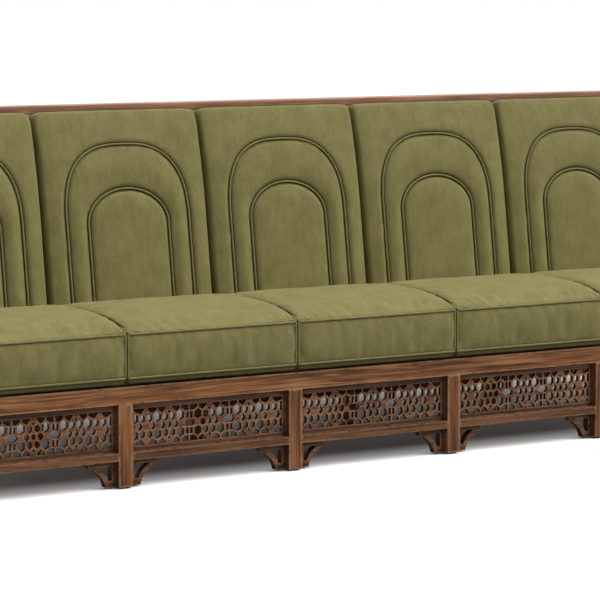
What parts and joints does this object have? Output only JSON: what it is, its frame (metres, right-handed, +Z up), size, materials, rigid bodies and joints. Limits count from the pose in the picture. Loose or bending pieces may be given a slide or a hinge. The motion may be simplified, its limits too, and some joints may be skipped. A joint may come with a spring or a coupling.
{
  "type": "restaurant booth bench",
  "caption": "Long walnut restaurant bench with pierced fretwork under the seat, loose box seat cushions and reclined back cushions stitched with double arches.",
  "frame": {"origin": "centre of the footprint on the floor, at the underside of the glides", "axes": "+X along the bench to a sitter's left, +Y from the seat front to the back, +Z up"},
  "size_m": [3.048, 0.7622, 1.134],
  "materials": {
    "walnut": "satin",
    "plywood": "matte",
    "beech": "matte",
    "olive_fabric": "woven",
    "black_plastic": "matte",
    "screw_brass": "satin"
  },
  "bodies": {
    "bench": {"front_top_rail": "walnut", "rear_seat_rail": "walnut", "cap_rail": "walnut", "front_post_1": "walnut", "rear_leg_1": "walnut", "cross_rail_1": "walnut", "front_post_2": "walnut", "rear_leg_2": "walnut", "cross_rail_2": "walnut", "front_post_3": "walnut", "rear_leg_3": "walnut", "cross_rail_3": "walnut", "front_post_4": "walnut", "rear_leg_4": "walnut", "cross_rail_4": "walnut", "front_post_5": "walnut", "rear_leg_5": "walnut", "cross_rail_5": "walnut", "front_post_6": "walnut", "rear_leg_6": "walnut", "cross_rail_6": "walnut", "bottom_rail_1": "walnut", "fretwork_panel_1": "walnut", "corner_brackets_1": "walnut", "seat_deck_1": "plywood", "back_board_1": "plywood", "back_cushion_1": "olive_fabric", "bottom_rail_2": "walnut", "fretwork_panel_2": "walnut", "corner_brackets_2": "walnut", "seat_deck_2": "plywood", "back_board_2": "plywood", "back_cushion_2": "olive_fabric", "bottom_rail_3": "walnut", "fretwork_panel_3": "walnut", "corner_brackets_3": "walnut", "seat_deck_3": "plywood", "back_board_3": "plywood", "back_cushion_3": "olive_fabric", "bottom_rail_4": "walnut", "fretwork_panel_4": "walnut", "corner_brackets_4": "walnut", "seat_deck_4": "plywood", "back_board_4": "plywood", "back_cushion_4": "olive_fabric", "bottom_rail_5": "walnut", "fretwork_panel_5": "walnut", "corner_brackets_5": "walnut", "seat_deck_5": "plywood", "back_board_5": "plywood", "back_cushion_5": "olive_fabric", "floor_glides": "black_plastic", "frame_dowels": "beech", "board_screws": "screw_brass", "fastening_strips": "black_plastic"},
    "loose_seat_1": {"seat_cushion_1": "olive_fabric"},
    "loose_seat_2": {"seat_cushion_2": "olive_fabric"},
    "loose_seat_3": {"seat_cushion_3": "olive_fabric"},
    "loose_seat_4": {"seat_cushion_4": "olive_fabric"},
    "loose_seat_5": {"seat_cushion_5": "olive_fabric"}
  },
  "joints": [
    {"name": "seat_1_lift", "type": "slide", "parent": "bench", "child": "loose_seat_1", "axis": [0, 0, 1], "range_m": [0, 0.25]},
    {"name": "seat_2_lift", "type": "slide", "parent": "bench", "child": "loose_seat_2", "axis": [0, 0, 1], "range_m": [0, 0.25]},
    {"name": "seat_3_lift", "type": "slide", "parent": "bench", "child": "loose_seat_3", "axis": [0, 0, 1], "range_m": [0, 0.25]},
    {"name": "seat_4_lift", "type": "slide", "parent": "bench", "child": "loose_seat_4", "axis": [0, 0, 1], "range_m": [0, 0.25]},
    {"name": "seat_5_lift", "type": "slide", "parent": "bench", "child": "loose_seat_5", "axis": [0, 0, 1], "range_m": [0, 0.25]}
  ]
}
